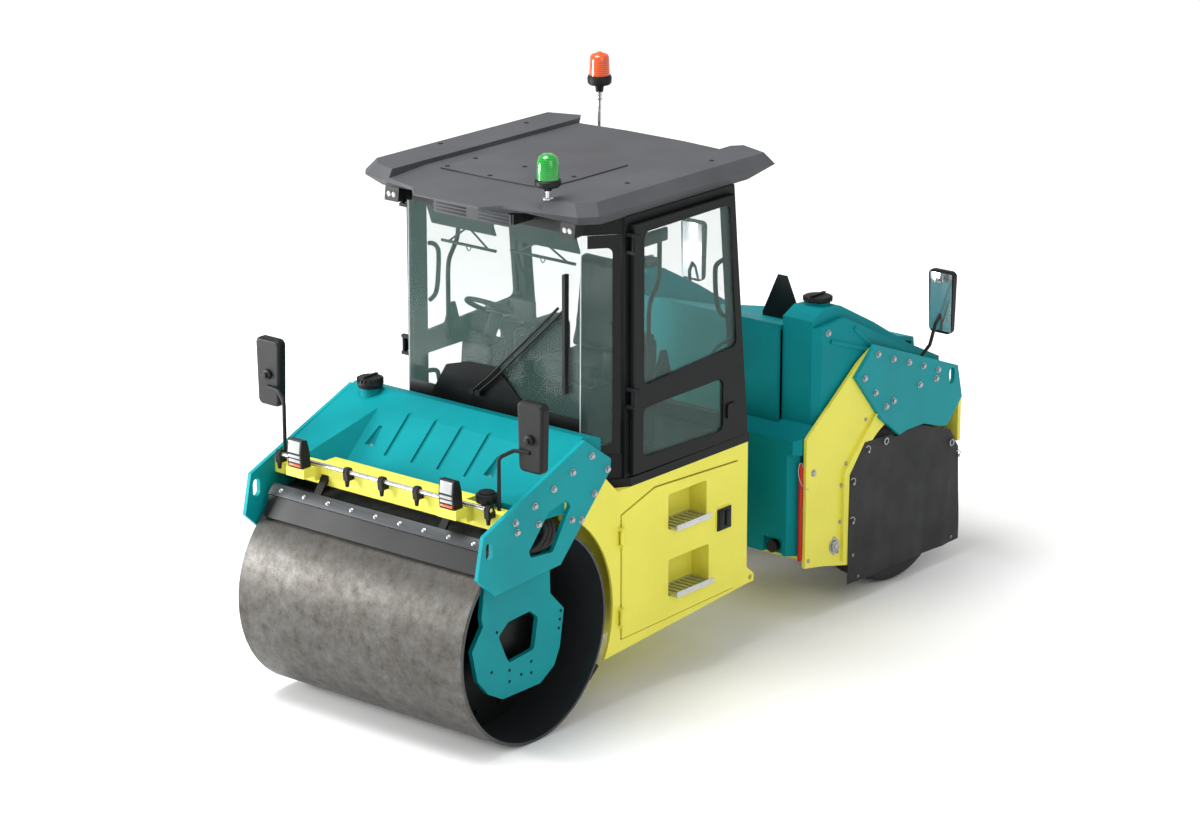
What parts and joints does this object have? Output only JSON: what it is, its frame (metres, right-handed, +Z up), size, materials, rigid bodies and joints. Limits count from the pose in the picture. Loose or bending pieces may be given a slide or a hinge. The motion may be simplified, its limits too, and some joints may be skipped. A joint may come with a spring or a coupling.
{
  "type": "tandem road roller",
  "caption": "Articulated road roller with a smooth steel drum in front and smooth rubber tyres behind, a glazed cab, tanks, opening doors, hatches and hood.",
  "frame": {"origin": "on the ground under the middle of the machine, halfway along its length", "axes": "+X forward, +Y to the left, +Z up"},
  "size_m": [4.711, 2.1338, 3.3789],
  "materials": {
    "teal_paint": "satin",
    "yellow_paint": "satin",
    "charcoal_paint": "matte",
    "black_metal": "matte",
    "black_plastic": "matte",
    "worn_steel": "worn",
    "bright_metal": "polished",
    "tread_metal": "rough",
    "tinted_glass": "clear",
    "green_lens": "gloss",
    "amber_lens": "gloss",
    "red_paint": "satin",
    "seat_cloth": "matte",
    "apron_cloth": "matte",
    "tyre_rubber": "matte"
  },
  "bodies": {
    "front_frame": {"front_plate_left": "teal_paint", "front_plate_right": "teal_paint", "drum_hubs": "black_metal", "side_wall_left": "yellow_paint", "side_wall_right": "yellow_paint", "mid_chassis": "yellow_paint", "tie_lugs": "yellow_paint", "front_tank": "teal_paint", "front_beam": "yellow_paint", "spray_tube": "bright_metal", "front_fittings": "black_plastic", "drum_scrapers": "black_metal", "cab_floor": "charcoal_paint", "cab_frame": "charcoal_paint", "cab_glass": "tinted_glass", "roof": "charcoal_paint", "roof_fittings": "black_plastic", "beacon_posts": "bright_metal", "green_lens": "green_lens", "amber_lens": "amber_lens", "seat": "seat_cloth", "cab_console": "black_plastic", "cab_rails": "black_plastic", "door_pins": "charcoal_paint", "steering_cylinders": "black_metal"},
    "drum": {"drum_shell": "worn_steel", "drum_heads": "black_metal"},
    "left_hatch": {"hatch_left": "yellow_paint", "step_boxes_left": "yellow_paint", "treads_left": "tread_metal"},
    "right_hatch": {"hatch_right": "yellow_paint", "step_boxes_right": "yellow_paint", "treads_right": "tread_metal"},
    "left_door": {"door_left": "charcoal_paint", "door_glass_left": "tinted_glass"},
    "right_door": {"door_right": "charcoal_paint", "door_glass_right": "tinted_glass"},
    "swivel": {"swivel_block": "black_metal"},
    "left_rod": {"rod_left": "bright_metal"},
    "right_rod": {"rod_right": "bright_metal"},
    "rear_frame": {"rear_chassis": "yellow_paint", "rear_deck": "yellow_paint", "wheel_carriers": "black_metal", "fender_left": "yellow_paint", "fender_right": "yellow_paint", "rear_plate_left": "teal_paint", "rear_plate_right": "teal_paint", "apron_left": "apron_cloth", "apron_right": "apron_cloth", "rear_tank_left": "teal_paint", "rear_tank_right": "teal_paint", "engine": "black_metal", "rear_fittings": "black_plastic", "lock_bar": "red_paint"},
    "rear_hood": {"hood": "teal_paint", "sign_plate": "black_metal"},
    "left_wheels": {"tyres_left": "tyre_rubber", "rims_left": "black_metal"},
    "right_wheels": {"tyres_right": "tyre_rubber", "rims_right": "black_metal"}
  },
  "joints": [
    {"name": "drum_spin", "type": "hinge", "parent": "front_frame", "child": "drum", "pos_m": [1.74, 0, 0.6155], "axis": [0, 1, 0], "continuous": true},
    {"name": "steer", "type": "hinge", "parent": "front_frame", "child": "swivel", "pos_m": [-0.395, 0, 0.72], "axis": [0, 0, 1], "range_deg": [-30, 30]},
    {"name": "rock", "type": "hinge", "parent": "swivel", "child": "rear_frame", "pos_m": [-0.6, 0, 0.72], "axis": [1, 0, 0], "range_deg": [-6, 6]},
    {"name": "left_rod_slide", "type": "slide", "parent": "front_frame", "child": "left_rod", "axis": [1, 0, 0], "range_m": [-0.131, 0.131]},
    {"name": "right_rod_slide", "type": "slide", "parent": "front_frame", "child": "right_rod", "axis": [1, 0, 0], "range_m": [-0.131, 0.131]},
    {"name": "left_wheels_spin", "type": "hinge", "parent": "rear_frame", "child": "left_wheels", "pos_m": [-1.74, 0.465, 0.54], "axis": [0, 1, 0], "continuous": true},
    {"name": "right_wheels_spin", "type": "hinge", "parent": "rear_frame", "child": "right_wheels", "pos_m": [-1.74, -0.465, 0.54], "axis": [0, 1, 0], "continuous": true},
    {"name": "left_door_swing", "type": "hinge", "parent": "front_frame", "child": "left_door", "pos_m": [0.905, 0.86, 2.2], "axis": [0, 0, -1], "range_deg": [0, 95]},
    {"name": "right_door_swing", "type": "hinge", "parent": "front_frame", "child": "right_door", "pos_m": [0.905, -0.86, 2.2], "axis": [0, 0, 1], "range_deg": [0, 95]},
    {"name": "left_hatch_swing", "type": "hinge", "parent": "front_frame", "child": "left_hatch", "pos_m": [0.99, 0.85, 0.76], "axis": [0, 0, -1], "range_deg": [0, 100]},
    {"name": "right_hatch_swing", "type": "hinge", "parent": "front_frame", "child": "right_hatch", "pos_m": [0.99, -0.85, 0.76], "axis": [0, 0, 1], "range_deg": [0, 100]},
    {"name": "hood_lift", "type": "hinge", "parent": "rear_frame", "child": "rear_hood", "pos_m": [-2.312, 0, 1.168], "axis": [0, -1, 0], "range_deg": [0, 40]}
  ],
  "couplings": [
    {"joint": "left_rod_slide", "follows": "steer", "m_per_rad": -0.248},
    {"joint": "right_rod_slide", "follows": "steer", "m_per_rad": 0.248}
  ]
}
